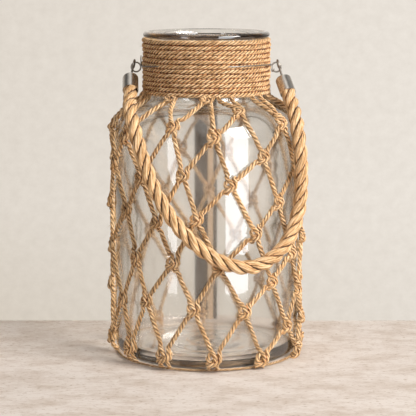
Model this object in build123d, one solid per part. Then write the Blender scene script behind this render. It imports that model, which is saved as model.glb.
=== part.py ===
"""Hanging lantern: a glass jar in a knotted jute net, with a rope handle that swings on wire eyes.

Own frame, in millimetres: the jar stands on the XY plane with its axis on +Z, the handle rope
hangs in front of it at -Y, and the two ends of the handle are linked to the neck at -X and +X.
Angles round the jar are counted from -Y, and grow towards +X.
"""
from math import atan2, cos, degrees, hypot, pi, radians, sin, sqrt, tan
import os

from build123d import *

os.makedirs("parts", exist_ok=True)

# --- jar: about 12 inches tall, blown soda-lime glass ----------------------------------------
JAR_HEIGHT = 307.0
BODY_R = 87.5
GLASS = 4.0
BASE_GLASS = 9.0
HEEL_R = 14.0
INNER_HEEL_R = 10.0
SHOULDER_R = 34.0
SHOULDER_Z = 208.0
NECK_R = 55.7
NECK_FILLET = 10.0
BEAD_R = 2.9
BEAD_CENTRE_R = 56.7

# --- cord net -------------------------------------------------------------------------------
CORD_R = 2.3
CORD_SIDES = 6
CORD_STANDOFF = 2.6
COLUMNS = 12
PITCH = 360 / COLUMNS
ROW_HEIGHTS = [253, 231, 188, 146, 106, 65, 16]
ROW_SAGS = [29, 48, 40, 34, 38, 28, 8]
ROWS = len(ROW_HEIGHTS)
SAG_ANGLE = 75.0
FIRST_SHIFT = 7.5
SHIFT_PER_ROW = -3.0
HIDDEN_ABOVE = 240.0
LEAVE_ANGLE = 56.0
SHOULDER_STEPS = 5
WALL_STEPS = 3
LEAST_BEND = 0.7

# --- hand-tied knots that sit off their regular place, as degrees round and height ------------
KNOT_SHIFTS = {
    (1, 10): (4.5, 0),
    (1, 11): (8, 0),
    (2, 9): (5, -9),
    (2, 10): (-0.5, -17),
    (2, 11): (5, -1),
    (3, 0): (-2.5, 2),
    (3, 9): (3, -2),
    (3, 10): (2.5, -9),
    (4, 0): (-4, 3.5),
    (4, 1): (1, 3),
    (4, 2): (2, -9),
    (4, 10): (7, 0),
    (4, 11): (1.5, -6),
    (5, 0): (-3, 5),
    (5, 1): (1, 5),
    (5, 10): (4, -2),
    (6, 1): (0, 6),
    (6, 2): (3, -2.5),
    (6, 9): (8, 2),
    (6, 10): (8, -5),
    (7, 2): (7, 0),
    (7, 10): (4, 1),
}

# --- knots: a six-sided block that seats a cord on each slanted side, gripped by a tilted turn -
KNOT_STANDOFF = 3.1
KNOT_SIDES = 6
KNOT_FACE = 5.0
KNOT_DEPTH = 5.2
KNOT_BEVEL = 1.3
SEAT_ANGLE = 30.0
TURN_R = 2.1
TURN_LENGTH = 9.2
TURN_FORWARD = 1.6
TURN_TILT = 24.0
LAST_ROW_SCALE = 1.2

# --- where the net meets the wrap and the base ------------------------------------------------
HIDDEN_HALF_ANGLE = 2.7
LEG_HALF_ANGLE = 6.0
LEG_SHIFTS = {0: -5.0}
STEM_HALF_ANGLE = 2.4
STEM_CORD_R = 1.84
ENTRY_DROP = 2.3
ENTRY_SLACK = 1.0
ENTRY_DEPTH = 1.0
RING_CORD_R = 1.5
RING_CORD_SIDES = 8
RING_R = 85.2
RING_Z = 1.6

# --- cord wound round the neck --------------------------------------------------------------
WRAP_TURNS = 12
WRAP_PITCH = 4.3
WRAP_GAP = 0.25
WRAP_DROP = 0.3
WRAP_VALLEY_R = 58.9
WRAP_CREST_R = 60.3

# --- wire ties ------------------------------------------------------------------------------
WIRE_R = 0.75
NECK_WIRE_R = 60.1
TIE_TURN = 6
TWIST_R = 1.5
TWIST_START = 60.2
EYE_R = 4.4
EYE_CENTRES = {-1: (-66.3, 0, 273.4), 1: (66.0, 0, 273.3)}
TAIL_R = 0.55
LEFT_TAIL = [(-61.3, 0, 275.0), (-61.5, -0.9, 277.0), (-61.7, -3.0, 284.5)]
RIGHT_TAIL = [
    (61.2, 0, 275.0),
    (61.4, -0.6, 271.5),
    (62.0, -1.9, 269.6),
    (63.2, -3.0, 270.2),
    (63.6, -3.4, 272.2),
]

# --- handle: each end's eye pin hangs on its wire eye and turns into the ferrule's closed end ----
HINGE_Z = 277.5
PIN_EYE_R = 3.8
PIN_EYE_CENTRE = 1.4
SHANK_R = 0.95
SHANK_FIT = 0.03
PIN_HEAD_R = 2.4
PIN_HEAD_THICK = 1.1
FERRULE_ENDS = {-1: (-71.1, -11.2, 265.0), 1: (71.5, -9.2, 263.7)}
HANGS = {-1: (0.03, -0.775, -0.63), 1: (0.257, -0.64, -0.72)}
FERRULE_LENGTH = 18.2
FERRULE_R = 7.4
FERRULE_BORE_R = 6.75
FERRULE_TOP = 2.0
FERRULE_ROUND = 2.7

# --- handle rope: the points of its route between the straight ends in the ferrules ------------
ROPE_R = 6.7
ROPE_START = 4.4
LEFT_RUN = 24.0
RIGHT_RUN = 22.0
ARC_SHARE = 0.45
ROPE_ROUTE = [
    (-70.5, -56.5, 240.0),
    (-65.0, -75.5, 222.5),
    (-57.2, -84.2, 197.0),
    (-48.0, -90.0, 172.0),
    (-34.5, -95.5, 148.0),
    (-14.0, -100.5, 123.5),
    (11.0, -101.0, 105.5),
    (34.5, -96.0, 98.0),
    (57.0, -85.0, 102.0),
    (76.5, -67.5, 119.5),
    (86.0, -55.0, 146.0),
    (87.5, -54.5, 172.0),
    (86.0, -59.5, 201.0),
    (82.0, -47.0, 232.0),
]

# --- worked out from the above ----------------------------------------------------------------
SHOULDER_CENTRE_R = BODY_R - SHOULDER_R
HEEL_CENTRE_R = BODY_R - HEEL_R
FILLET_CENTRE_R = NECK_R + NECK_FILLET
FILLET_Z = SHOULDER_Z + sqrt(
    (SHOULDER_R + NECK_FILLET) ** 2 - (FILLET_CENTRE_R - SHOULDER_CENTRE_R) ** 2
)
WRAP_INNER_R = NECK_R + WRAP_GAP
WRAP_TOP = JAR_HEIGHT - 2 * BEAD_R - WRAP_DROP
WRAP_BOTTOM = WRAP_TOP - WRAP_TURNS * WRAP_PITCH
TIE_Z = WRAP_BOTTOM + TIE_TURN * WRAP_PITCH
LEAVE_Z = SHOULDER_Z + (SHOULDER_R + CORD_STANDOFF) * sin(radians(LEAVE_ANGLE))
RING_TOP = RING_Z + RING_CORD_R * cos(pi / RING_CORD_SIDES)


def save(node, *solids):
    """Write the separate solids of one node to a STEP file of its own."""
    shape = solids[0] if len(solids) == 1 else Compound(children=list(solids))
    shape.label = node
    export_step(shape, f"parts/{node}.step")


def around(angle, radius, z):
    """The point at an angle round the jar, a distance from its axis and a height."""
    turn = radians(angle)
    return Vector(radius * sin(turn), -radius * cos(turn), z)


def largest(shape):
    """The biggest solid that a cut leaves."""
    return shape.solids().sort_by(SortBy.VOLUME)[-1]


# --- jar ----------------------------------------------------------------------------------------
def on_circle(centre, radius, towards):
    """The point of a circle in the profile plane that lies in a direction from its centre."""
    scale = radius / hypot(*towards)
    return (centre[0] + towards[0] * scale, centre[1] + towards[1] * scale)


def jar():
    """Revolved profile: thick base, rounded heel, upright wall, shoulder, neck and rolled bead."""
    bore_r = NECK_R - GLASS
    inner_r = BODY_R - GLASS
    heel = (HEEL_CENTRE_R, HEEL_R)
    shoulder = (SHOULDER_CENTRE_R, SHOULDER_Z)
    hollow = (FILLET_CENTRE_R, FILLET_Z)
    slope = (hollow[0] - shoulder[0], hollow[1] - shoulder[1])
    bead_z = JAR_HEIGHT - BEAD_R
    bead_start = bead_z - sqrt(BEAD_R**2 - (BEAD_CENTRE_R - NECK_R) ** 2)
    lip_r = BEAD_CENTRE_R - bore_r
    lip = (BEAD_CENTRE_R, JAR_HEIGHT - lip_r)
    crown = on_circle(shoulder, SHOULDER_R, slope)
    inner_crown = on_circle(shoulder, SHOULDER_R - GLASS, slope)
    inner_heel = (inner_r - INNER_HEEL_R, BASE_GLASS + INNER_HEEL_R)
    out_and_up, out_and_down, in_and_down = (1, 1), (1, -1), (-1, -0.6)
    with BuildPart() as built:
        with BuildSketch(Plane.XZ):
            with BuildLine():
                Line((0, 0), (HEEL_CENTRE_R, 0))
                ThreePointArc(
                    (HEEL_CENTRE_R, 0), on_circle(heel, HEEL_R, out_and_down), (BODY_R, HEEL_R)
                )
                Line((BODY_R, HEEL_R), (BODY_R, SHOULDER_Z))
                ThreePointArc(
                    (BODY_R, SHOULDER_Z), on_circle(shoulder, SHOULDER_R, out_and_up), crown
                )
                ThreePointArc(
                    crown, on_circle(hollow, NECK_FILLET, in_and_down), (NECK_R, FILLET_Z)
                )
                Line((NECK_R, FILLET_Z), (NECK_R, bead_start))
                ThreePointArc(
                    (NECK_R, bead_start),
                    (BEAD_CENTRE_R + BEAD_R, bead_z),
                    (BEAD_CENTRE_R, JAR_HEIGHT),
                )
                ThreePointArc(
                    (BEAD_CENTRE_R, JAR_HEIGHT), on_circle(lip, lip_r, (-1, 1)), (bore_r, lip[1])
                )
                Line((bore_r, lip[1]), (bore_r, FILLET_Z))
                ThreePointArc(
                    (bore_r, FILLET_Z),
                    on_circle(hollow, NECK_FILLET + GLASS, in_and_down),
                    inner_crown,
                )
                ThreePointArc(
                    inner_crown,
                    on_circle(shoulder, SHOULDER_R - GLASS, out_and_up),
                    (inner_r, SHOULDER_Z),
                )
                Line((inner_r, SHOULDER_Z), (inner_r, inner_heel[1]))
                ThreePointArc(
                    (inner_r, inner_heel[1]),
                    on_circle(inner_heel, INNER_HEEL_R, out_and_down),
                    (inner_heel[0], BASE_GLASS),
                )
                Line((inner_heel[0], BASE_GLASS), (0, BASE_GLASS))
                Line((0, BASE_GLASS), (0, 0))
            make_face()
        revolve(axis=Axis.Z)
    return built.part


# --- neck wrap ----------------------------------------------------------------------------------
def neck_wrap():
    """Twelve touching turns of cord: a sleeve with one ridge to each turn."""
    outline = [(WRAP_INNER_R, WRAP_BOTTOM), (WRAP_VALLEY_R, WRAP_BOTTOM)]
    for turn in range(WRAP_TURNS):
        low = WRAP_BOTTOM + turn * WRAP_PITCH
        outline.append((WRAP_CREST_R, low + WRAP_PITCH / 2))
        outline.append((WRAP_VALLEY_R, low + WRAP_PITCH))
    outline.append((WRAP_INNER_R, WRAP_TOP))
    with BuildPart() as built:
        with BuildSketch(Plane.XZ):
            with BuildLine():
                Polyline(*outline, close=True)
            make_face()
        revolve(axis=Axis.Z)
    return built.part


# --- net ----------------------------------------------------------------------------------------
def net_radius(z, standoff):
    """Distance from the axis at which the net passes z: it hugs the heel, the wall and the
    shoulder, and is drawn straight from there to the foot of the wrap."""
    if z < HEEL_R:
        return HEEL_CENTRE_R + sqrt((HEEL_R + standoff) ** 2 - (HEEL_R - z) ** 2)
    if z <= SHOULDER_Z:
        return BODY_R + standoff
    reach = SHOULDER_R + standoff
    leave = radians(LEAVE_ANGLE)
    leave_z = SHOULDER_Z + reach * sin(leave)
    if z <= leave_z:
        return SHOULDER_CENTRE_R + sqrt(reach**2 - (z - SHOULDER_Z) ** 2)
    return SHOULDER_CENTRE_R + reach * cos(leave) - (z - leave_z) * tan(leave)


def lean(z):
    """Degrees by which the glass leans in towards the axis at z."""
    if z < HEEL_R:
        return -degrees(atan2(HEEL_R - z, net_radius(z, KNOT_STANDOFF) - HEEL_CENTRE_R))
    if z <= SHOULDER_Z:
        return 0.0
    return degrees(atan2(z - SHOULDER_Z, net_radius(z, KNOT_STANDOFF) - SHOULDER_CENTRE_R))


def shift(row, column):
    """How far a knot sits from its regular place, in degrees and in height."""
    return KNOT_SHIFTS.get((row, column % COLUMNS), (0, 0))


def knot_angle(row, column):
    """Rows alternate by half a column, and the whole net drifts round a little row by row."""
    half_step = PITCH / 2 if row % 2 == 1 else 0
    drift = FIRST_SHIFT + SHIFT_PER_ROW * (row - 1)
    return column * PITCH + half_step + drift + shift(row, column)[0]


def knot_height(row, column):
    """Every row sags on the slack side of the net."""
    slack = ((1 + cos(radians(knot_angle(row, column) - SAG_ANGLE))) / 2) ** 3
    return ROW_HEIGHTS[row - 1] - ROW_SAGS[row - 1] * slack + shift(row, column)[1]


def is_tied(row, column):
    """The highest crossings of the first row stay hidden under the wrap."""
    return row > 1 or knot_height(row, column) < HIDDEN_ABOVE


def knot_scale(row):
    return LAST_ROW_SCALE if row == ROWS else 1.0


def knot_place(row, column):
    """A knot's own frame: X runs round the jar, Y points in to the glass and Z runs up it."""
    z = knot_height(row, column)
    angle = knot_angle(row, column)
    centre = around(angle, net_radius(z, KNOT_STANDOFF), z)
    return Location(centre) * Rotation(0, 0, angle) * Rotation(-lean(z), 0, 0)


def knot_form(scale):
    """The block with its bevelled front, and the turn that stands out across it."""
    with BuildPart() as block:
        with BuildSketch(Plane.XZ.offset(-KNOT_DEPTH / 2)):
            RegularPolygon(KNOT_FACE * scale, KNOT_SIDES, major_radius=False, rotation=30)
        extrude(amount=KNOT_DEPTH)
        front = block.faces().sort_by(Axis.Y)[0]
        chamfer(front.edges(), length=KNOT_BEVEL)
    with BuildPart() as turn:
        with BuildSketch(Plane.YZ):
            RegularPolygon(TURN_R, KNOT_SIDES, rotation=30)
        extrude(amount=TURN_LENGTH / 2 * scale, both=True)
    across = Location((0, -TURN_FORWARD, 0), (0, -TURN_TILT, 0))
    return largest(block.part + across * turn.part)


def seat(row, column, side, upward):
    """The plane of a knot's slanted side where a cord ends, with its normal out of the knot."""
    frame = Plane(knot_place(row, column))
    slant = radians(SEAT_ANGLE)
    normal = Vector(side * sin(slant), 0, upward * cos(slant))
    origin = frame.from_local_coords(normal * KNOT_FACE * knot_scale(row))
    return Plane(origin, z_dir=origin - frame.origin)


def beyond(cord, plane):
    """What a plane leaves of a cord on the side of its normal."""
    return largest(split(cord, bisect_by=plane, keep=Keep.TOP))


def knot_row(row):
    form = knot_form(knot_scale(row))
    columns = [column for column in range(COLUMNS) if is_tied(row, column)]
    return [knot_place(row, column) * form for column in columns]


def faceted_cord(points, radius):
    """A six-sided cord through points, mitred where it bends, with a flat towards the glass."""
    outward = Vector(points[0].X, points[0].Y, 0)
    with BuildPart() as built:
        with BuildLine():
            Polyline(*points)
        with BuildSketch(Plane(points[0], x_dir=outward, z_dir=points[1] - points[0])):
            RegularPolygon(radius, CORD_SIDES, rotation=30)
        sweep(transition=Transition.RIGHT)
    return built.part


def along_glass(start, end, steps):
    """Points that follow the glass from one (angle, height) to another, where it bends."""
    points = []
    for step in range(steps + 1):
        share = step / steps
        angle = start[0] + (end[0] - start[0]) * share
        z = start[1] + (end[1] - start[1]) * share
        points.append(around(angle, net_radius(z, CORD_STANDOFF), z))
    kept = [points[0]]
    for point, after in zip(points[1:], points[2:]):
        if (point - kept[-1]).get_angle(after - point) > LEAST_BEND:
            kept.append(point)
    return kept + [points[-1]]


def under_wrap(start, angle):
    """A cord that climbs from (angle, height) to the neck and goes up under the wrap."""
    entry_r = WRAP_INNER_R + CORD_R
    entry_z = WRAP_BOTTOM - ENTRY_DROP
    if start[1] < LEAVE_Z:
        share = (LEAVE_Z - start[1]) / (entry_z - start[1])
        leave_angle = start[0] + (angle - start[0]) * share
        points = along_glass(start, (leave_angle, LEAVE_Z), SHOULDER_STEPS)
    else:
        points = [around(start[0], net_radius(start[1], CORD_STANDOFF), start[1])]
    points.append(around(angle, entry_r + ENTRY_SLACK, entry_z))
    points.append(around(angle, entry_r, WRAP_BOTTOM + ENTRY_DEPTH))
    cord = faceted_cord(points, CORD_R)
    return split(cord, bisect_by=Plane.XY.offset(WRAP_BOTTOM), keep=Keep.BOTTOM)


def upper_columns(column, row):
    """The two knots of the row above from which a knot's cords come, as (column, side)."""
    if row % 2 == 0:
        return [(column - 1, 1), (column, -1)]
    return [(column, 1), (column + 1, -1)]


def cords_above(row):
    """Every cord that comes down to one row of knots, seated on the knots it joins."""
    cords = []
    for column in range(COLUMNS):
        start = (knot_angle(row, column), knot_height(row, column))
        for upper, side in upper_columns(column, row):
            angle = knot_angle(row - 1, upper)
            z = knot_height(row - 1, upper)
            if is_tied(row - 1, upper):
                steps = SHOULDER_STEPS if z > SHOULDER_Z else WALL_STEPS
                cord = faceted_cord(along_glass(start, (angle, z), steps), CORD_R)
                cord = beyond(cord, seat(row - 1, upper, side, -1))
            else:
                cord = under_wrap(start, angle + side * HIDDEN_HALF_ANGLE)
            cords.append(beyond(cord, seat(row, column, -side, 1)))
    return cords


def top_cords():
    """Two cords from each tied knot of the first row, up under the wrap."""
    cords = []
    for column in range(COLUMNS):
        if is_tied(1, column):
            start = (knot_angle(1, column), knot_height(1, column))
            middle = start[0] + LEG_SHIFTS.get(column, 0)
            for side in (-1, 1):
                cord = under_wrap(start, middle + side * LEG_HALF_ANGLE)
                cords.append(beyond(cord, seat(1, column, side, 1)))
    return cords


def base_ring():
    """The cord round the heel that the net starts from."""
    with BuildPart() as built:
        with BuildSketch(Plane.XZ):
            with Locations((RING_R, RING_Z)):
                RegularPolygon(RING_CORD_R, RING_CORD_SIDES, rotation=180 / RING_CORD_SIDES)
        revolve(axis=Axis.Z)
    return built.part


def stems():
    """Two short cords from each knot of the last row, down to the flat top of the base ring."""
    cords = []
    for column in range(COLUMNS):
        angle = knot_angle(ROWS, column)
        z = knot_height(ROWS, column)
        for side in (-1, 1):
            foot = angle + side * STEM_HALF_ANGLE
            points = along_glass((foot, z), (foot, (z + RING_Z) / 2), 1)
            points.append(around(foot, RING_R, RING_Z))
            cord = beyond(faceted_cord(points, STEM_CORD_R), seat(ROWS, column, side, -1))
            cords.append(beyond(cord, Plane.XY.offset(RING_TOP)))
    return cords


# --- wire ties ------------------------------------------------------------------------------------
def twist(side, tail):
    """The twisted ends of the two neck wires, with the cut tail, on one side of the neck."""
    length = abs(EYE_CENTRES[side][0]) - EYE_R - TWIST_START
    barrel = Plane((side * TWIST_START, 0, TIE_Z), z_dir=(side, 0, 0)) * Cylinder(
        TWIST_R, length, align=(Align.CENTER, Align.CENTER, Align.MIN)
    )
    with BuildPart() as end:
        with BuildLine():
            Polyline(*tail)
        with BuildSketch(Plane(tail[0], z_dir=Vector(*tail[1]) - Vector(*tail[0]))):
            Circle(TAIL_R)
        sweep(transition=Transition.ROUND)
    return barrel + end.part


def wire_eye(side):
    """The wire loop that carries one end of the handle."""
    return Plane(EYE_CENTRES[side], z_dir=(0, 1, 0)) * Torus(EYE_R, WIRE_R)


# --- handle -----------------------------------------------------------------------------------------
def hinge_point(side):
    """Where the hinge line crosses the bar of a wire eye."""
    x, _, z = EYE_CENTRES[side]
    return Vector(x + side * sqrt(EYE_R**2 - (HINGE_Z - z) ** 2), 0, HINGE_Z)


def hang(side):
    """The direction in which one ferrule points, from its closed end to its mouth."""
    return Vector(*HANGS[side]).normalized()


def hanging(side):
    """A frame at a ferrule's closed end: Z runs down it, and X stays square to it."""
    return Plane(FERRULE_ENDS[side], x_dir=(1, 0, 0), z_dir=hang(side))


def eye_pin(side):
    """A wire ring round the bar of the wire eye, on a shank that bends into the ferrule's end
    wall, with a head that is trapped inside it."""
    hinge, mouth = hinge_point(side), Vector(*FERRULE_ENDS[side])
    pull = (mouth - hinge).normalized()
    across = Plane(hinge + pull * PIN_EYE_CENTRE, x_dir=(1, 0, 0), z_dir=pull)
    ring = across * Rotation(0, 90, 0) * Torus(PIN_EYE_R, WIRE_R)
    inside = mouth + hang(side) * (FERRULE_TOP + PIN_HEAD_THICK / 2)
    with BuildPart() as shank:
        with BuildLine():
            Polyline(hinge + pull * (PIN_EYE_CENTRE + PIN_EYE_R), mouth, inside)
        with BuildSketch(Plane(hinge + pull * (PIN_EYE_CENTRE + PIN_EYE_R), z_dir=pull)):
            Circle(SHANK_R)
        sweep(transition=Transition.ROUND)
    head = hanging(side) * Pos(0, 0, FERRULE_TOP) * Cylinder(
        PIN_HEAD_R, PIN_HEAD_THICK, align=(Align.CENTER, Align.CENTER, Align.MIN)
    )
    return ring + shank.part + head


def ferrule():
    """A deep-drawn cap with a rounded closed end, which the rope is glued into."""
    hole_r = SHANK_R + SHANK_FIT
    flat_r = FERRULE_R - FERRULE_ROUND
    with BuildPart() as built:
        with BuildSketch(Plane.XZ):
            with BuildLine():
                Line((hole_r, 0), (flat_r, 0))
                RadiusArc((flat_r, 0), (FERRULE_R, FERRULE_ROUND), -FERRULE_ROUND)
                Polyline(
                    (FERRULE_R, FERRULE_ROUND),
                    (FERRULE_R, FERRULE_LENGTH),
                    (FERRULE_BORE_R, FERRULE_LENGTH),
                    (FERRULE_BORE_R, FERRULE_TOP),
                    (hole_r, FERRULE_TOP),
                    (hole_r, 0),
                )
            make_face()
        revolve(axis=Axis.Z)
    return built.part


def rope_points():
    """The route of the rope's centreline, from inside one ferrule to inside the other."""
    left, right = Vector(*FERRULE_ENDS[-1]), Vector(*FERRULE_ENDS[1])
    start = [left + hang(-1) * ROPE_START, left + hang(-1) * (ROPE_START + LEFT_RUN)]
    end = [right + hang(1) * (ROPE_START + RIGHT_RUN), right + hang(1) * ROPE_START]
    return start + [Vector(*point) for point in ROPE_ROUTE] + end


def arc_radii(points):
    """One tangent arc for each bend, taking the same share of its shorter run."""
    radii = []
    for before, corner, after in zip(points, points[1:], points[2:]):
        first, second = corner - before, after - corner
        half_turn = radians(first.get_angle(second)) / 2
        radii.append(ARC_SHARE * min(first.length, second.length) / tan(half_turn))
    return radii


def handle_rope():
    points = rope_points()
    radii = arc_radii(points)
    print("rope bend radii", [round(radius, 1) for radius in radii])
    with BuildPart() as built:
        with BuildLine() as line:
            FilletPolyline(*points, radius=radii)
        with BuildSketch(Plane(points[0], z_dir=points[1] - points[0])):
            Circle(ROPE_R)
        sweep()
    expected = pi * ROPE_R**2 * line.wires()[0].length
    print("rope length", round(line.wires()[0].length, 1), "volume share", built.part.volume / expected)
    return built.part


# --- build ------------------------------------------------------------------------------------------
save("glass_jar", jar())
save("neck_wrap_cord", neck_wrap())

for row in range(1, ROWS + 1):
    save(f"net_knots_row_{row}", *knot_row(row))
save("net_top_cords", *top_cords())
for row in range(2, ROWS + 1):
    save(f"net_cords_row_{row - 1}", *cords_above(row))
save("net_stem_cords", *stems())

ring_cord = base_ring()
for knot in knot_row(ROWS):
    ring_cord = ring_cord - knot
save("base_ring_cord", *ring_cord.solids())

neck_ring = Pos(0, 0, TIE_Z) * Torus(NECK_WIRE_R, WIRE_R)
for name, side, tail in (("left", -1, LEFT_TAIL), ("right", 1, RIGHT_TAIL)):
    tie = twist(side, tail)
    neck_ring = neck_ring - tie
    eye = wire_eye(side)
    save(f"{name}_wire_eye", eye)
    save(f"{name}_wire_twist", largest(tie - eye))
    save(f"{name}_ferrule_eye", eye_pin(side))
    save(f"{name}_ferrule", hanging(side) * ferrule())
save("neck_wire_front", largest(split(neck_ring, bisect_by=Plane.XZ, keep=Keep.TOP)))
save("neck_wire_back", largest(split(neck_ring, bisect_by=Plane.XZ, keep=Keep.BOTTOM)))
save("handle_rope", handle_rope())
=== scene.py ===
"""Hanging lantern: glass jar, knotted jute net, cord-wound neck, wire ties and a rope handle."""
from math import acos, atan2, cos, degrees, pi, radians, sin, sqrt, tan

import bpy
import numpy as np
from mathutils import Matrix, Vector


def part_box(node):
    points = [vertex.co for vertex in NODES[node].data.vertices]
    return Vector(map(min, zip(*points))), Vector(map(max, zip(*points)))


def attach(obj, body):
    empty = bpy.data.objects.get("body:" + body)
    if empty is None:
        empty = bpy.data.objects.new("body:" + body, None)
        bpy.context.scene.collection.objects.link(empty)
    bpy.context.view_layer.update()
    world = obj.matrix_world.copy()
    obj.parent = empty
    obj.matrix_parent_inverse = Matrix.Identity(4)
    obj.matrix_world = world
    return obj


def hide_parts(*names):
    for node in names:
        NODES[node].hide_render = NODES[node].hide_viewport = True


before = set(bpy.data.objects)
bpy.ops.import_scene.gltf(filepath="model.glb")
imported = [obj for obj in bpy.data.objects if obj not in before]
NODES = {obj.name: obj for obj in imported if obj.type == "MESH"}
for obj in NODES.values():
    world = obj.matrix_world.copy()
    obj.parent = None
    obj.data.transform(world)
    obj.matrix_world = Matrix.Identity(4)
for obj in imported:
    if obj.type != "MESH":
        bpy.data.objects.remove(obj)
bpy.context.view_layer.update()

SEED = 7

# --- sizes, in metres, in the CAD's frame ---
MM = 0.001
JAR_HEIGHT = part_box("glass_jar")[1][2]
BODY_R = 87.5 * MM
GLASS = 4.0 * MM
BASE_GLASS = 9.0 * MM
BASE_RINGS = 3
BASE_RING_DEPTH = 0.9 * MM
HEEL_R = 14.0 * MM
INNER_HEEL_R = 10.0 * MM
SHOULDER_R = 34.0 * MM
SHOULDER_Z = 208.0 * MM
NECK_R = 55.7 * MM
NECK_FILLET = 10.0 * MM
BEAD_R = 2.9 * MM
BEAD_CENTRE_R = 56.7 * MM
SHOULDER_CENTRE_R = BODY_R - SHOULDER_R
HEEL_CENTRE_R = BODY_R - HEEL_R
FILLET_CENTRE_R = NECK_R + NECK_FILLET
FILLET_Z = SHOULDER_Z + sqrt(
    (SHOULDER_R + NECK_FILLET) ** 2 - (FILLET_CENTRE_R - SHOULDER_CENTRE_R) ** 2
)

# --- net, as in the CAD ---
CORD_R = 2.3 * MM
CORD_STANDOFF = 2.4 * MM
CORD_LAY = -15.0 * MM
COLUMNS = 12
PITCH = 360 / COLUMNS
ROW_HEIGHTS = [253, 231, 188, 146, 106, 65, 16]
ROW_SAGS = [29, 48, 40, 34, 38, 28, 8]
ROWS = len(ROW_HEIGHTS)
SAG_ANGLE = 75.0
FIRST_SHIFT = 7.5
SHIFT_PER_ROW = -3.0
KNOT_SHIFTS = {
    (1, 10): (4.5, 0), (1, 11): (8, 0), (2, 9): (5, -9), (2, 10): (-0.5, -17),
    (2, 11): (5, -1), (3, 0): (-2.5, 2), (3, 9): (3, -2), (3, 10): (2.5, -9),
    (4, 0): (-4, 3.5), (4, 1): (1, 3), (4, 2): (2, -9), (4, 10): (7, 0),
    (4, 11): (1.5, -6), (5, 0): (-3, 5), (5, 1): (1, 5), (5, 10): (4, -2),
    (6, 1): (0, 6), (6, 2): (3, -2.5), (6, 9): (8, 2), (6, 10): (8, -5),
    (7, 2): (7, 0), (7, 10): (4, 1),
}
HIDDEN_ABOVE = 240.0 * MM
LEAVE_ANGLE = 56.0
HIDDEN_HALF_ANGLE = 2.7
LEG_HALF_ANGLE = 6.0
LEG_SHIFTS = {0: -5.0}
STEM_HALF_ANGLE = 2.4
ENTRY_DROP = 2.3 * MM
ENTRY_R = NECK_R + 2.4 * MM
KNOT_STANDOFF = 3.1 * MM
KNOT_CORD_R = CORD_R * 0.8
LAST_ROW_SCALE = 1.2
RING_R = 85.2 * MM
RING_Z = 1.6 * MM
RING_CORD_R = 1.15 * MM
RING_STEPS = 420
RING_TURNS = 44

# --- neck wrap ---
WRAP_LOW, WRAP_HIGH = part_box("neck_wrap_cord")
WRAP_TURNS = 12
WRAP_PITCH = (WRAP_HIGH[2] - WRAP_LOW[2]) / WRAP_TURNS
WRAP_CORD_R = 2.5 * MM
WRAP_R = 58.05 * MM
WRAP_LAY = -17.0 * MM
WRAP_STEPS = 330
WRAP_CLIMB_FROM = 0.86
WRAP_START = 0.93 * pi
WRAP_TUCK = 1.6 * MM
WRAP_TUCK_TURNS = 0.03

# --- handle rope: the same route as in the CAD ---
ROPE_R = 6.7 * MM
ROPE_LAY = 40.0 * MM
STRAND_SHARE = 0.505
YARN_LAY = -150 * MM
ROPE_START = 4.4
LEFT_RUN = 24.0
RIGHT_RUN = 22.0
LEFT_END = Vector((-71.1, -11.2, 265.0))
RIGHT_END = Vector((71.5, -9.2, 263.7))
LEFT_HANG = Vector((0.03, -0.775, -0.63)).normalized()
RIGHT_HANG = Vector((0.257, -0.64, -0.72)).normalized()
ROPE_ROUTE = [
    (-70.5, -56.5, 240.0), (-65.0, -75.5, 222.5), (-57.2, -84.2, 197.0), (-48.0, -90.0, 172.0),
    (-34.5, -95.5, 148.0), (-14.0, -100.5, 123.5), (11.0, -101.0, 105.5), (34.5, -96.0, 98.0),
    (57.0, -85.0, 102.0), (76.5, -67.5, 119.5), (86.0, -55.0, 146.0), (87.5, -54.5, 172.0),
    (86.0, -59.5, 201.0), (82.0, -47.0, 232.0),
]

# --- wires: routes as (degrees round, reach, rise), tails as points, all lengths in mm ---
TIE_Z = WRAP_LOW[2] + 6 * WRAP_PITCH
NECK_WIRE_R = 0.6 * MM
NECK_WIRE_ROUTES = {
    "front": [
        (-91, 60.6, -0.4), (-75, 60.9, 0.0), (-60, 60.8, 0.8), (-50, 60.5, 1.5), (-43, 58.8, 1.9),
        (-20, 57.6, 2.2), (10, 57.8, 2.4), (18, 59.4, 2.5), (25, 60.6, 2.5), (46, 60.9, 2.6),
        (66, 60.9, 2.1), (91, 60.6, 0.9),
    ],
    "back": [
        (89, 60.6, 0.9), (115, 60.8, 0.3), (150, 60.5, -0.2), (180, 60.7, 0.1), (215, 60.4, 0.3),
        (245, 60.8, 0.0), (271, 60.6, -0.4),
    ],
}
TWIST_FROM = 59.6
TWIST_LENGTH = 2.4
TWIST_Z = 275.0
TWIST_WIRE_R = 0.55
TAIL_R = 0.75 * MM
TAILS = {
    "left": [(-61.0, 0.4, 274.6), (-61.3, -0.9, 276.6), (-61.7, -1.6, 280.5), (-61.4, -3.0, 284.5)],
    "right": [
        (61.0, 0.4, 275.2), (61.3, -1.0, 272.0), (62.0, -1.9, 269.6), (63.2, -3.0, 270.0),
        (63.7, -3.4, 272.2),
    ],
}

# --- cord fibres ---
FIBRE_SKEW = 0.55
FIBRE_OFFSET = 0.37
FIBRE_SPAN = 40
# Painted shade: within CORE_R of a rope's greatest reach from its core the crest is 0, so the
# groove colour is full there, fading out over CORE_FADE; a cut end's middle takes END_CREST.
CORE_R = 0.62
CORE_FADE = 0.16
END_CREST = 0.4
HAIR = np.array([(2 * pi * k / 3, 0.11 * MM, 1.0) for k in range(3)])
HAIR_TAPER = [1.0, 0.95, 0.85, 0.65, 0.3]
HAIR_LENGTHS = (2.0 * MM, 5.5 * MM)
CORD_HAIRS, KNOT_HAIRS, WRAP_HAIRS, ROPE_HAIRS = 55, 160, 130, 550

# --- camera ---
CAMERA_X = 0.0015
CAMERA_REACH = 1.572
CAMERA_HEIGHT = 0.386
AIM_HEIGHT = 0.1389


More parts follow.
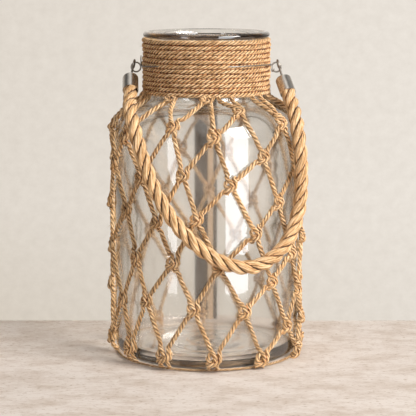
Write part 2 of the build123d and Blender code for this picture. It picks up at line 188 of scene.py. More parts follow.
# --- mesh helpers ---
class Strands:
    """Collects twisted tubes, and turns them into one mesh with UVs, crests and tones."""

    def __init__(self):
        self.points, self.faces, self.uvs = [], [], []
        self.crests, self.tones = [], []
        self.count = 0

    def add(
        self, path, profile, lay=None, phase=0.0, scale=None, tone=0.5, skew=0.0, closed=False,
        core=None,
    ):
        """Sweeps a profile, given as (angle, radius, crest) columns, along a path.

        The columns turn once per lay, so that a groove stays in its own column. The fibres'
        coordinate drifts across the columns by skew turns in each metre. Where a core's points
        are given, the crest fades towards it, so that the grooves between a rope's strands take
        painted shade."""
        path = np.asarray(path, float)
        _, normals, binormals, along = path_frames(path, closed)
        turn = phase + (2 * pi * along / lay if lay else 0 * along)
        size = np.ones(len(path)) if scale is None else np.asarray(scale, float)
        angles = profile[:, 0] + turn[:, None]
        radii = profile[:, 1] * size[:, None]
        ring = (
            path[:, None, :]
            + (radii * np.cos(angles))[:, :, None] * normals[:, None, :]
            + (radii * np.sin(angles))[:, :, None] * binormals[:, None, :]
        )
        rings, columns = radii.shape
        start = self.count
        self.points.append(ring.reshape(-1, 3))
        crest = np.tile(profile[:, 2], (rings, 1))
        # Painted shade: the crest, and with it the groove colour, fades towards the core.
        if core is not None:
            reach = np.linalg.norm(ring - core[:, None, :], axis=2)
            crest = crest * np.clip((reach / reach.max() - CORE_R) / CORE_FADE, 0.0, 1.0)
        self.crests.append(crest.ravel())
        self.tones.append(np.full(rings * columns, tone))
        self.count += rings * columns
        last = rings if closed else rings - 1
        i = np.arange(last)[:, None]
        j = np.arange(columns)[None, :]
        below = start + i * columns
        above = start + ((i + 1) % rings) * columns
        right = (j + 1) % columns
        quads = np.stack([below + j, below + right, above + right, above + j], axis=-1)
        self.faces.append(quads.reshape(-1, 4))
        ends = np.append(along, along[-1] + np.linalg.norm(path[0] - path[-1]))
        v0 = np.broadcast_to(ends[i], quads.shape[:2])
        v1 = np.broadcast_to(ends[i + 1], quads.shape[:2])
        left, right = j / columns, (j + 1) / columns
        offset = len(self.points) * FIBRE_OFFSET % FIBRE_SPAN
        corners = [(left, v0), (right, v0), (right, v1), (left, v1)]
        uv = np.stack([c for u, v in corners for c in (u + skew * v + offset, v + offset)], axis=-1)
        self.uvs.append(uv.reshape(-1, 2))
        if not closed:
            self.cap(start, columns, False)
            self.cap(start + (rings - 1) * columns, columns, True)

    def cap(self, start, columns, outward):
        """Closes one end of the last tube with a fan of quads round its middle."""
        middle = self.points[-1][start - self.count : start - self.count + columns or None]
        self.points[-1] = np.vstack([self.points[-1], middle.mean(axis=0)])
        self.crests[-1] = np.append(self.crests[-1], END_CREST)
        self.tones[-1] = np.append(self.tones[-1], self.tones[-1][-1])
        centre = self.count
        self.count += 1
        j = np.arange(0, columns - columns % 2, 2)
        a, b, c = start + j, start + (j + 1) % columns, start + (j + 2) % columns
        quads = np.stack([a, b, c, np.full_like(a, centre)], axis=-1)
        if not outward:
            quads = quads[:, ::-1]
        self.faces.append(quads)
        self.uvs.append(np.zeros((len(quads) * 4, 2)))

    def mesh(self, name):
        mesh = bpy.data.meshes.new(name)
        points = np.vstack(self.points)
        faces = np.vstack(self.faces)
        mesh.vertices.add(len(points))
        mesh.vertices.foreach_set("co", points.ravel())
        mesh.loops.add(faces.size)
        mesh.loops.foreach_set("vertex_index", faces.ravel().astype(np.int32))
        mesh.polygons.add(len(faces))
        mesh.polygons.foreach_set("loop_start", np.arange(0, faces.size, 4, dtype=np.int32))
        mesh.update(calc_edges=True)
        layer = mesh.uv_layers.new(name="strand")
        layer.data.foreach_set("uv", np.vstack(self.uvs).ravel())
        for label, values in (("crest", self.crests), ("tone", self.tones)):
            attribute = mesh.attributes.new(label, "FLOAT", "POINT")
            attribute.data.foreach_set("value", np.concatenate(values))
        mesh.polygons.foreach_set("use_smooth", np.ones(len(faces), bool))
        mesh.validate()
        return mesh


def path_frames(path, closed=False):
    """Tangents, turn-free normals and binormals, and the length along the path, for each point."""
    ahead = np.roll(path, -1, axis=0) - path
    behind = path - np.roll(path, 1, axis=0)
    if not closed:
        ahead[-1] = behind[-1]
        behind[0] = ahead[0]
    tangents = unit(unit(ahead) + unit(behind))
    normals = np.zeros_like(path)
    first = np.cross(tangents[0], [0.0, 0.0, 1.0])
    if np.linalg.norm(first) < 0.1:
        first = np.cross(tangents[0], [0.0, 1.0, 0.0])
    normals[0] = first / np.linalg.norm(first)
    for k in range(1, len(path)):
        axis = np.cross(tangents[k - 1], tangents[k])
        size = np.linalg.norm(axis)
        normals[k] = normals[k - 1]
        if size > 1e-9:
            angle = atan2(size, float(tangents[k - 1] @ tangents[k]))
            normals[k] = turned(normals[k - 1], axis / size, angle)
    return tangents, normals, np.cross(tangents, normals), lengths_along(path)


def lengths_along(points):
    """How far along a line each of its points lies."""
    steps = np.linalg.norm(np.diff(points, axis=0), axis=1)
    return np.concatenate([[0.0], np.cumsum(steps)])


def turned(vector, axis, angle):
    """Rodrigues' rotation of a vector about a unit axis."""
    return (
        vector * cos(angle)
        + np.cross(axis, vector) * sin(angle)
        + axis * float(axis @ vector) * (1 - cos(angle))
    )


def unit(vectors):
    """The same directions with a length of 1."""
    return vectors / np.maximum(np.linalg.norm(vectors, axis=-1, keepdims=True), 1e-12)


def lobed(radius, plies=3, columns=21, fullness=0.52):
    """The outline of plies laid side by side, from a groove: (angle, radius, crest) columns."""
    ply_r = radius * fullness
    orbit = radius - ply_r
    rows = []
    for column in range(columns):
        angle = 2 * pi * column / columns
        best = 0.0
        for ply in range(plies):
            off = angle - 2 * pi * (ply + 0.5) / plies
            inside = ply_r**2 - (orbit * sin(off)) ** 2
            if inside >= 0 and cos(off) > 0:
                best = max(best, orbit * cos(off) + sqrt(inside))
        rows.append((angle, best, 0.0))
    table = np.array(rows)
    low, high = table[:, 1].min(), table[:, 1].max()
    table[:, 2] = (table[:, 1] - low) / max(high - low, 1e-9)
    return table


def yarned(radius, yarns=8, columns=48, depth=0.06):
    """The outline of one strand of a rope, made of fine yarns."""
    angle = 2 * pi * np.arange(columns) / columns
    ridge = np.abs(np.cos(yarns * angle / 2))
    return np.stack([angle, radius * (1 - depth + depth * ridge), 0.55 + 0.45 * ridge], axis=1)


def fuzz(strands, path, radius, per_metre, rng, reach=1.0):
    """Loose fibres that stand off a cord."""
    tangents, normals, binormals, along = path_frames(path)
    for _ in range(int(along[-1] * per_metre)):
        k = rng.integers(1, len(path) - 1)
        turn = rng.uniform(0, 2 * pi)
        outward = normals[k] * cos(turn) + binormals[k] * sin(turn)
        sideways = np.cross(tangents[k], outward)
        heading = tangents[k] * rng.choice((-1, 1)) + sideways * rng.uniform(-0.7, 0.7)
        length = rng.uniform(*HAIR_LENGTHS) * reach
        rise = rng.uniform(0.15, 0.75)
        curl = rng.uniform(-0.5, 0.5)
        root = path[k] + outward * radius * 0.85
        share = np.linspace(0, 1, 5)[:, None]
        hair = root + length * (
            share * heading * (1 - rise * 0.5)
            + share**1.4 * outward * rise
            + share**2 * sideways * curl
        )
        strands.add(hair, HAIR, scale=HAIR_TAPER, tone=rng.uniform(0.7, 1.0))


def smooth_path(points, step):
    """A centripetal Catmull-Rom curve through points, sampled about every step."""
    points = [np.asarray(p, float) for p in points]
    points = [2 * points[0] - points[1], *points, 2 * points[-1] - points[-2]]
    curve = []
    for p0, p1, p2, p3 in zip(points, points[1:], points[2:], points[3:]):
        t1 = max(np.linalg.norm(p1 - p0), 1e-9) ** 0.5
        t2 = t1 + max(np.linalg.norm(p2 - p1), 1e-9) ** 0.5
        t3 = t2 + max(np.linalg.norm(p3 - p2), 1e-9) ** 0.5
        count = max(int(np.linalg.norm(p2 - p1) / step), 1)
        for k in range(count):
            t = t1 + (t2 - t1) * k / count
            a1 = (t1 - t) / t1 * p0 + t / t1 * p1
            a2 = (t2 - t) / (t2 - t1) * p1 + (t - t1) / (t2 - t1) * p2
            a3 = (t3 - t) / (t3 - t2) * p2 + (t - t2) / (t3 - t2) * p3
            b1 = (t2 - t) / t2 * a1 + t / t2 * a2
            b2 = (t3 - t) / (t3 - t1) * a2 + (t - t1) / (t3 - t1) * a3
            curve.append((t2 - t) / (t2 - t1) * b1 + (t - t1) / (t2 - t1) * b2)
    curve.append(points[-2])
    return np.array(curve)


def wobble(count, amount, rng, reach=9):
    """Smooth random sizes around 1."""
    raw = rng.normal(0, 1, count + 2 * reach)
    kernel = np.hanning(2 * reach + 1)
    kernel /= sqrt((kernel**2).sum())
    return 1 + amount * np.convolve(raw, kernel, mode="valid")[:count]


def placed(name, data):
    """A new object in the scene."""
    thing = bpy.data.objects.new(name, data)
    bpy.context.scene.collection.objects.link(thing)
    return thing


def add_piece(name, mesh, material, slot, body, *nodes):
    """A finished mesh as a piece that stands for CAD nodes and rides on their body."""
    mesh.materials.append(material)
    piece = placed(name, mesh)
    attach(piece, body)
    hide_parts(*nodes)
    return piece


# --- node trees ---
WHITE = (1, 1, 1)


class Tree:
    """A node tree, with short ways to add the nodes that the materials and the world need."""

    def __init__(self, tree):
        self.nodes, self.links = tree.nodes, tree.links

    def put(self, socket, value):
        """Sets a socket to a number or a colour, or links another node's output to it."""
        if isinstance(value, bpy.types.NodeSocket):
            self.links.new(value, socket)
        elif socket.type == "RGBA":
            socket.default_value = (*value, 1)
        else:
            socket.default_value = value

    def fill(self, node, inputs):
        """Puts values into a node's inputs, given by name or by place."""
        for key, value in dict(inputs).items():
            self.put(node.inputs[key], value)

    def add(self, kind, inputs=(), **settings):
        node = self.nodes.new(f"ShaderNode{kind}")
        for name, value in settings.items():
            setattr(node, name, value)
        self.fill(node, inputs)
        return node

    def coordinates(self, kind="Object"):
        return self.add("TexCoord").outputs[kind]

    def attribute(self, name):
        return self.add("Attribute", attribute_name=name).outputs["Fac"]

    def split(self, vector):
        outputs = self.add("SeparateXYZ", {"Vector": vector}).outputs
        return outputs["X"], outputs["Y"], outputs["Z"]

    def stretched(self, vector, scale):
        return self.add("Mapping", {"Vector": vector, "Scale": scale}).outputs["Vector"]

    def noise(self, vector, scale, detail, roughness=0.5):
        inputs = {"Vector": vector, "Scale": scale, "Detail": detail, "Roughness": roughness}
        return self.add("TexNoise", inputs).outputs["Fac"]

    def math(self, operation, *values):
        return self.add("Math", enumerate(values), operation=operation).outputs["Value"]

    def spread(self, value, low, high, to_low=0.0, to_high=1.0):
        """Maps low..high to to_low..to_high, and holds what lies past either end."""
        ends = {"From Min": low, "From Max": high, "To Min": to_low, "To Max": to_high}
        return self.add("MapRange", {"Value": value, **ends}).outputs["Result"]

    def ramp(self, value, *stops):
        """Colours that follow a value, each stop being a place and a colour."""
        node = self.add("ValToRGB", {"Fac": value})
        elements = node.color_ramp.elements
        for k, (place, colour) in enumerate(stops):
            if k > 1:
                elements.new(place)
            elements[k].position = place
            elements[k].color = (*colour, 1)
        return node.outputs["Color"]

    def blend(self, factor, first, second, kind="MIX"):
        inputs = {"Factor": factor, "A": first, "B": second}
        return self.add("Mix", inputs, data_type="RGBA", blend_type=kind).outputs["Result"]

    def bump(self, height, strength, distance):
        inputs = {"Height": height, "Strength": strength, "Distance": distance}
        return self.add("Bump", inputs).outputs["Normal"]

    def open_air(self, distance, **settings):
        """1 where nothing stands within the distance, and less in creases."""
        return self.add("AmbientOcclusion", {"Distance": distance}, **settings).outputs["AO"]

    def emission(self, colour, strength=1.0):
        inputs = {"Color": colour, "Strength": strength}
        return self.add("Emission", inputs).outputs["Emission"]

    def choose(self, factor, otherwise, shader):
        """A second shader where the factor is 1, and the first one elsewhere."""
        inputs = {"Fac": factor, 1: otherwise, 2: shader}
        return self.add("MixShader", inputs).outputs["Shader"]

    def ray(self, kind):
        return self.add("LightPath").outputs[f"Is {kind} Ray"]

    def finish(self, shader, output="Material Output"):
        self.put(self.nodes[output].inputs["Surface"], shader)


# --- materials ---
JUTE_LIGHT = (0.95, 0.64, 0.34)
JUTE_MIDDLE = (0.60, 0.285, 0.088)
# Painted shade: the colour given to grooves between plies, yarns and strands, and to the lining
# under the wrap.
JUTE_GROOVE_SHADE = (0.055, 0.02, 0.006)
JUTE_BROWN = tuple(0.3 * m + 0.7 * d for m, d in zip(JUTE_MIDDLE, JUTE_GROOVE_SHADE))
GLASS_CLEAR = (0.915, 0.905, 0.885)
# Painted shade: the glass's dark outline lines and its darkened edges.
GLASS_EDGE_SHADE = (0.66, 0.635, 0.60)
GLASS_PAINTED_DARK = (0.32, 0.28, 0.235)
BASE_CLEAR = (0.965, 0.95, 0.925)
# Painted shade: the colour of the lip's front.
LIP_PAINTED_DARK = (0.03, 0.018, 0.01)
GLASS_SHADOW = (0.965, 0.965, 0.96)
NICKEL = (0.74, 0.70, 0.65)
WIRE_GREY = (0.32, 0.29, 0.255)


def new_material(name):
    material = bpy.data.materials.new(name)
    material.use_nodes = True
    shader = material.node_tree.nodes["Principled BSDF"]
    return material, Tree(material.node_tree), shader


def jute(name, along, around_it):
    """Twisted plant fibre: streaks that run along the strands, with painted shade in grooves and
    creases.

    There are about `along` streaks in each metre of cord, and `around_it` of them round it."""
    material, tree, shader = new_material(name)
    strand = tree.add("UVMap", uv_map="strand").outputs["UV"]
    fibres = tree.noise(tree.stretched(strand, (around_it, along, 1.0)), 1.0, 6.0, 0.7)
    streaks = tree.ramp(fibres, (0.39, JUTE_BROWN), (0.475, JUTE_MIDDLE), (0.585, JUTE_LIGHT))
    # Painted shade: where the crest is low, between plies, yarns or strands, the colour goes to the
    # groove shade.
    groove = tree.spread(tree.attribute("crest"), 0.0, 0.8, 1.0, 0.0)
    groove_shaded = tree.blend(groove, streaks, JUTE_GROOVE_SHADE)
    blotches = tree.noise(tree.coordinates(), 130.0, 3.0)
    uneven = tree.math("ADD", tree.attribute("tone"), blotches)
    value = tree.spread(uneven, 0.55, 1.5, 0.72, 1.18)
    shade = tree.add("HueSaturation", {"Color": groove_shaded, "Value": value}).outputs["Color"]
    # Painted shade: creases that the occlusion finds are darkened, and open surfaces a little
    # lightened.
    crease = tree.open_air(2.5 * MM, samples=6, only_local=True)
    crease_shade_gamma = tree.spread(crease, 0.2, 0.8, 4.6, 0.78)
    inputs = {
        "Base Color": tree.add("Gamma", {"Color": shade, "Gamma": crease_shade_gamma}).outputs["Color"],
        "Normal": tree.bump(fibres, 0.9, 0.8 * MM),
        "Roughness": 0.72,
        "Specular IOR Level": 0.3,
        "Sheen Weight": 0.12,
        "Sheen Roughness": 0.4,
    }
    tree.fill(shader, inputs)
    return material


def clear_glass():
    """Blown glass: greyish and softly uneven inside a glossy skin. Painted shade draws dark lines
    that follow its outline as refraction does, darkens it towards its edges, and makes the
    front of its thick lip near black.
    """
    material, tree, shader = new_material("blown_glass")
    coordinates = tree.coordinates()
    x, y, z = tree.split(coordinates)
    # Painted shade: the front of the thick lip, where rays enter it from outside, is coloured
    # near-black brown, standing for the dark that it refracts.
    lip_z = JAR_HEIGHT - 2 * BEAD_R
    lip = tree.spread(z, lip_z - 1.0 * MM, lip_z + 0.5 * MM)
    under_lip = tree.spread(z, JAR_HEIGHT - 1.6 * MM, JAR_HEIGHT - 0.7 * MM, 1.0, 0.0)
    flat = tree.add("CombineXYZ", {"X": x, "Y": y}).outputs["Vector"]
    radius = tree.add("VectorMath", {0: flat}, operation="LENGTH").outputs["Value"]
    outside = tree.math("GREATER_THAN", radius, NECK_R - GLASS / 2)
    backfacing = tree.add("NewGeometry").outputs["Backfacing"]
    entering = tree.math("LESS_THAN", backfacing, 0.5)
    front_of_bead = tree.math("MULTIPLY", outside, entering)
    painted_lip_mask = tree.math("MULTIPLY", tree.math("MULTIPLY", lip, under_lip), front_of_bead)
    # Painted shade: from how squarely the glass faces the view, dark lines that follow its outline,
    # as refraction draws them, and darkening towards its edges.
    folds = tree.noise(coordinates, 38.0, 3.0)
    facing = tree.add("LayerWeight").outputs["Facing"]
    wander = tree.math("MULTIPLY_ADD", folds, 0.22, facing)
    clear, grey, dark = GLASS_CLEAR, GLASS_EDGE_SHADE, GLASS_PAINTED_DARK
    lines = ((0.445, clear), (0.473, dark), (0.505, clear), (0.60, clear), (0.63, grey))
    edge_shade_stops = ((0.66, clear), (0.78, clear), (0.86, dark))
    painted_refraction_lines = tree.ramp(wander, *lines, *edge_shade_stops)
    above_heel = tree.spread(z, BASE_GLASS, BASE_GLASS + 2 * INNER_HEEL_R)
    wall = tree.blend(above_heel, BASE_CLEAR, painted_refraction_lines)
    ripples = tree.noise(tree.stretched(coordinates, (1.0, 1.0, 0.35)), 22.0, 1.5)
    relief = tree.bump(ripples, 0.25, 1.2 * MM)
    inputs = {
        "Base Color": tree.blend(painted_lip_mask, wall, LIP_PAINTED_DARK),
        "Roughness": tree.spread(lip, 0.0, 1.0, 0.075, 0.02),
        "IOR": 1.5,
        "Transmission Weight": 1.0,
        "Coat Weight": 0.8,
        "Coat Roughness": 0.015,
        "Normal": relief,
        "Coat Normal": relief,
    }
    tree.fill(shader, inputs)
    shadow = tree.add("BsdfTransparent", {"Color": GLASS_SHADOW}).outputs["BSDF"]
    tree.finish(tree.choose(tree.ray("Shadow"), shader.outputs["BSDF"], shadow))
    return material


def worn_metal(name, colour, rough, scale, relief):
    """Drawn metal with fine scuffs and uneven polish."""
    material, tree, shader = new_material(name)
    scuffs = tree.noise(tree.coordinates(), scale, 5.0)
    dull = tuple(0.86 * c for c in colour)
    inputs = {
        "Base Color": tree.ramp(scuffs, (0.35, dull), (0.65, colour)),
        "Metallic": 1.0,
        "Roughness": tree.spread(scuffs, 0.0, 1.0, *rough),
        "Normal": tree.bump(scuffs, relief, 0.1 * MM),
    }
    tree.fill(shader, inputs)
    return material


# --- glass jar ---
def arc(centre, radius, start, end, count):
    """Points of a circle from one angle to another, in degrees, end point included."""
    angles = np.radians(np.linspace(start, end, count))
    return [(centre[0] + radius * cos(a), centre[1] + radius * sin(a)) for a in angles]


def jar_profile():
    """The glass's section from the middle of its underside round to the middle of its inside."""
    slope = degrees(atan2(FILLET_Z - SHOULDER_Z, FILLET_CENTRE_R - SHOULDER_CENTRE_R))
    bead_z = JAR_HEIGHT - BEAD_R
    start = -degrees(acos((NECK_R - BEAD_CENTRE_R) / BEAD_R))
    bore_r = NECK_R - GLASS
    lip_r = BEAD_CENTRE_R - bore_r
    inner_r = BODY_R - GLASS
    inner_heel = (inner_r - INNER_HEEL_R, BASE_GLASS + INNER_HEEL_R)
    outline = [(0.0, 0.0), (HEEL_CENTRE_R * 0.5, 0.0)]
    outline += arc((HEEL_CENTRE_R, HEEL_R), HEEL_R, -90, 0, 10)
    outline += [(BODY_R, HEEL_R + (SHOULDER_Z - HEEL_R) * k / 8) for k in range(1, 8)]
    outline += arc((SHOULDER_CENTRE_R, SHOULDER_Z), SHOULDER_R, 0, slope, 14)
    outline += arc((FILLET_CENTRE_R, FILLET_Z), NECK_FILLET, slope + 180, 180, 8)[1:]
    outline += arc((BEAD_CENTRE_R, bead_z), BEAD_R, start, 90, 12)
    outline += arc((BEAD_CENTRE_R, JAR_HEIGHT - lip_r), lip_r, 90, 180, 7)[1:]
    outline += arc((FILLET_CENTRE_R, FILLET_Z), NECK_FILLET + GLASS, 180, slope + 180, 8)
    outline += arc((SHOULDER_CENTRE_R, SHOULDER_Z), SHOULDER_R - GLASS, slope, 0, 14)[1:]
    heights = np.linspace(SHOULDER_Z, inner_heel[1], 9)[1:-1]
    outline += [(inner_r, float(z)) for z in heights]
    outline += arc(inner_heel, INNER_HEEL_R, 0, -90, 8)
    for share in np.linspace(1.0, 0.0, BASE_RINGS * 8 + 1)[1:]:
        wave = 0.5 * BASE_RING_DEPTH * (1 - cos(2 * pi * BASE_RINGS * share))
        outline.append((inner_heel[0] * float(share), BASE_GLASS - wave))
    return outline


def make_jar(material):
    """The section turned round the axis, with a closed pole at each end."""
    profile = jar_profile()
    segments = 160
    turns = [2 * pi * k / segments for k in range(segments)]
    rings = profile[1:-1]
    points = [(0.0, 0.0, profile[0][1])]
    points += [(r * cos(a), r * sin(a), z) for r, z in rings for a in turns]
    points.append((0.0, 0.0, profile[-1][1]))
    last = 1 + (len(rings) - 1) * segments
    faces = []
    for k in range(segments):
        after = (k + 1) % segments
        faces.append((0, 1 + after, 1 + k))
        faces.append((len(points) - 1, last + k, last + after))
        for ring in range(len(rings) - 1):
            low = 1 + ring * segments
            high = low + segments
            faces.append((low + k, low + after, high + after, high + k))
    mesh = bpy.data.meshes.new("blown_jar")
    mesh.from_pydata(points, [], faces)
    mesh.polygons.foreach_set("use_smooth", np.ones(len(mesh.polygons), bool))
    mesh.update()
    add_piece("blown_jar", mesh, material, "clear_glass", "jar", "glass_jar")


# --- net ---
def around(angle, radius, z):
    """The point at an angle from the front, in degrees, towards the right."""
    turn = radians(angle)
    return np.array([radius * sin(turn), -radius * cos(turn), z])


def leave_z(standoff):
    """The height at which the net leaves the shoulder for the wrap."""
    return SHOULDER_Z + (SHOULDER_R + standoff) * sin(radians(LEAVE_ANGLE))


def net_radius(z, standoff):
    """Distance from the axis at which the net passes z, as in the CAD."""
    if z < HEEL_R:
        return HEEL_CENTRE_R + sqrt((HEEL_R + standoff) ** 2 - (HEEL_R - z) ** 2)
    if z <= SHOULDER_Z:
        return BODY_R + standoff
    reach = SHOULDER_R + standoff
    if z <= leave_z(standoff):
        return SHOULDER_CENTRE_R + sqrt(reach**2 - (z - SHOULDER_Z) ** 2)
    leave = radians(LEAVE_ANGLE)
    return SHOULDER_CENTRE_R + reach * cos(leave) - (z - leave_z(standoff)) * tan(leave)


def lean(z):
    """How far the glass leans in from upright at z."""
    if z < HEEL_R:
        return -atan2(HEEL_R - z, net_radius(z, KNOT_STANDOFF) - HEEL_CENTRE_R)
    if z <= SHOULDER_Z:
        return 0.0
    return atan2(z - SHOULDER_Z, net_radius(z, KNOT_STANDOFF) - SHOULDER_CENTRE_R)


def shift(row, column):
    """How far a knot sits off its regular place, in degrees and mm."""
    return KNOT_SHIFTS.get((row, column % COLUMNS), (0, 0))


def knot_angle(row, column):
    half_step = PITCH / 2 * (row % 2)
    drift = FIRST_SHIFT + SHIFT_PER_ROW * (row - 1)
    return column * PITCH + half_step + drift + shift(row, column)[0]


def knot_height(row, column):
    slack = ((1 + cos(radians(knot_angle(row, column) - SAG_ANGLE))) / 2) ** 3
    return (ROW_HEIGHTS[row - 1] - ROW_SAGS[row - 1] * slack + shift(row, column)[1]) * MM


def is_tied(row, column):
    """The highest crossings of the first row stay hidden under the wrap."""
    return row > 1 or knot_height(row, column) < HIDDEN_ABOVE


class Knot:
    """One knot: X runs round the jar, Y points in to the glass and Z runs up it."""

    def __init__(self, row, column, rng):
        self.angle = knot_angle(row, column)
        self.z = knot_height(row, column)
        self.size = (LAST_ROW_SCALE if row == ROWS else 1.0) * rng.uniform(0.95, 1.07)
        centre = around(self.angle, net_radius(self.z, KNOT_STANDOFF), self.z)
        self.place = (
            Matrix.Translation(Vector(centre))
            @ Matrix.Rotation(radians(self.angle), 4, "Z")
            @ Matrix.Rotation(-lean(self.z), 4, "X")
            @ Matrix.Rotation(radians(rng.normal(0, 6)), 4, "Y")
        )

    def at(self, x, y, z):
        local = Vector((x, y, z)) * MM * self.size
        return np.array(self.place @ local)

    def half(self, side, upper):
        """Where a cord runs inside the knot, from its hidden end to where it leaves.

        The cord from the upper left passes down the middle. The one from the upper right turns
        round its front and ends behind, and the two lower ones come out from under that turn."""
        return [self.at(*point) for point in HALVES[side, upper]]


HALVES = {
    (-1, True): [(1.1, -0.6, -3.2), (0.8, -1.9, 0.2), (-0.8, -1.5, 3.4), (-3.0, -0.1, 6.2)],
    (1, True): [
        (-3.0, 1.2, -3.4), (-4.9, -0.3, -4.9), (-2.4, -2.1, -4.8), (1.5, -2.5, -3.4),
        (4.1, -1.6, -0.9), (4.3, -0.6, 2.2), (3.7, 0.2, 5.8),
    ],
    (-1, False): [(-0.6, 0.4, -1.0), (-2.3, 0.1, -4.4), (-3.5, 0.4, -7.2)],
    (1, False): [(0.6, 0.4, -1.0), (2.0, 0.1, -4.4), (3.1, 0.4, -7.2)],
}
KNOT_LOOPS = [
    [
        (-1.4, 1.3, 3.6), (-3.8, -0.1, 2.9), (-4.9, -0.8, 0.4), (-4.1, -1.4, -1.9),
        (-1.9, -1.2, -2.9),
    ],
    [(2.6, 1.6, 3.4), (4.9, 0.9, 0.6), (3.9, 0.8, -3.2)],
]
WRAP_KNOT = [
    (-5.5, 0.0, 2.0), (-4.6, 2.6, -0.6), (-1.0, 3.6, -2.4), (3.2, 3.2, -1.0), (5.2, 0.4, 2.4),
]


def along_glass(start, end, steps):
    """Points over the glass from one (angle, z) to another."""
    points = []
    for step in range(steps + 1):
        share = step / steps
        angle = start[0] + (end[0] - start[0]) * share
        z = start[1] + (end[1] - start[1]) * share
        points.append(around(angle, net_radius(z, CORD_STANDOFF), z))
    return points


def span_points(lower, upper, side):
    """One cord between two knots: side is +1 where the upper end lies to the right."""
    points = along_glass((lower.angle, lower.z), (upper.angle, upper.z), 5)
    return lower.half(side, True) + points[1:-1] + upper.half(-side, False)[::-1]


def wrap_entry(knot, angle, side):
    """A cord from a knot up under the wrap."""
    entry_z = WRAP_LOW[2] - ENTRY_DROP
    leave = leave_z(CORD_STANDOFF)
    points = knot.half(side, True)
    if knot.z < leave - 4 * MM:
        share = (leave - knot.z) / (entry_z - knot.z)
        leave_angle = knot.angle + (angle - knot.angle) * share
        steps = 4 if knot.z < SHOULDER_Z + 12 * MM else 2
        points += along_glass((knot.angle, knot.z), (leave_angle, leave), steps)[1:]
    points.append(around(angle, ENTRY_R + 1.0 * MM, entry_z))
    points.append(around(angle, ENTRY_R, WRAP_LOW[2] + 2 * MM))
    return points


def upper_columns(column, row):
    """The two knots of the row above that a knot hangs from, and the side each lies on."""
    if row % 2 == 0:
        return [(column - 1, -1), (column, 1)]
    return [(column, -1), (column + 1, 1)]


def cord_tube(strands, points, radius, rng, hairs=CORD_HAIRS):
    """One three-ply cord through points, with its loose fibres."""
    path = smooth_path(points, 1.1 * MM)
    own_lay = CORD_LAY * rng.uniform(0.9, 1.1)
    strands.add(
        path,
        lobed(radius),
        lay=own_lay,
        phase=rng.uniform(0, 2 * pi),
        scale=wobble(len(path), 0.045, rng),
        tone=rng.uniform(0.2, 0.8),
        skew=FIBRE_SKEW / own_lay,
    )
    fuzz(strands, path, radius, hairs, rng)


def knot_loops(strands, knot, rng):
    """The tucks at a knot's left and right, which its four cords leave free."""
    for shape in KNOT_LOOPS:
        points = [knot.at(*(np.array(p) + rng.normal(0, 0.25, 3))) for p in shape]
        cord_tube(strands, points, KNOT_CORD_R * knot.size, rng, hairs=KNOT_HAIRS)


def wrap_knot(strands, angle, rng):
    """The lower side of a crossing that is tied just under the wrap."""
    reach, z = NECK_R + 3.0 * MM, WRAP_LOW[2] - 2.0 * MM
    points = []
    for turn, out, up in WRAP_KNOT:
        points.append(around(angle + turn, reach + out * MM, z + (up + rng.normal(0, 0.3)) * MM))
    cord_tube(strands, points, CORD_R * 0.9, rng, hairs=KNOT_HAIRS)


def make_net(material):
    """Every cord and knot of the net, one piece to each CAD node."""
    rng = np.random.default_rng(SEED)
    knots = {
        (row, column): Knot(row, column, rng)
        for row in range(1, ROWS + 1)
        for column in range(COLUMNS)
        if is_tied(row, column)
    }
    pieces = {}
    for row in range(1, ROWS + 1):
        loops = Strands()
        for (knot_row, _), knot in knots.items():
            if knot_row == row:
                knot_loops(loops, knot, rng)
        if row == 1:
            for column in range(COLUMNS):
                if not is_tied(1, column):
                    wrap_knot(loops, knot_angle(1, column), rng)
        pieces[f"net_knots_row_{row}"] = loops
    for row in range(2, ROWS + 1):
        cords = Strands()
        for column in range(COLUMNS):
            lower = knots[row, column]
            for upper_column, side in upper_columns(column, row):
                upper = knots.get((row - 1, upper_column % COLUMNS))
                if upper is None:
                    angle = knot_angle(row - 1, upper_column) - side * HIDDEN_HALF_ANGLE
                    points = wrap_entry(lower, angle, side)
                else:
                    points = span_points(lower, around_to(upper, lower), side)
                cord_tube(cords, points, CORD_R, rng)
        pieces[f"net_cords_row_{row - 1}"] = cords
    top = Strands()
    for (row, column), knot in knots.items():
        if row == 1:
            for side in (-1, 1):
                angle = knot.angle + LEG_SHIFTS.get(column, 0) + side * LEG_HALF_ANGLE
                cord_tube(top, wrap_entry(knot, angle, side), CORD_R, rng)
    pieces["net_top_cords"] = top
    feet = Strands()
    for (row, _), knot in knots.items():
        if row == ROWS:
            for side in (-1, 1):
                foot = knot.angle + side * STEM_HALF_ANGLE
                points = knot.half(side, False)
                points.append(around(foot, RING_R + 0.6 * MM, RING_Z + 1.2 * MM))
                cord_tube(feet, points, KNOT_CORD_R, rng)
    pieces["net_stem_cords"] = feet
    for node, strands in pieces.items():
        add_piece(f"twisted_{node}", strands.mesh(node), material, "jute_cord", "jar", node)


def around_to(upper, lower):
    """The upper knot with its angle counted on the same turn as the lower one's."""
    upper.angle = lower.angle + (upper.angle - lower.angle + 180) % 360 - 180
    return upper


def make_ring(material):
    """The thin cord that runs round the heel on the table."""
    turns = np.linspace(0, 2 * pi, RING_STEPS, endpoint=False)
    heights = np.full(RING_STEPS, RING_Z)
    path = np.stack([RING_R * np.cos(turns), RING_R * np.sin(turns), heights], axis=1)
    ring = Strands()
    lay = -2 * pi * RING_R / RING_TURNS
    ring.add(path, lobed(RING_CORD_R), lay=lay, tone=0.0, closed=True)
    mesh = ring.mesh("ring")
    add_piece("twisted_base_ring", mesh, material, "jute_cord", "jar", "base_ring_cord")


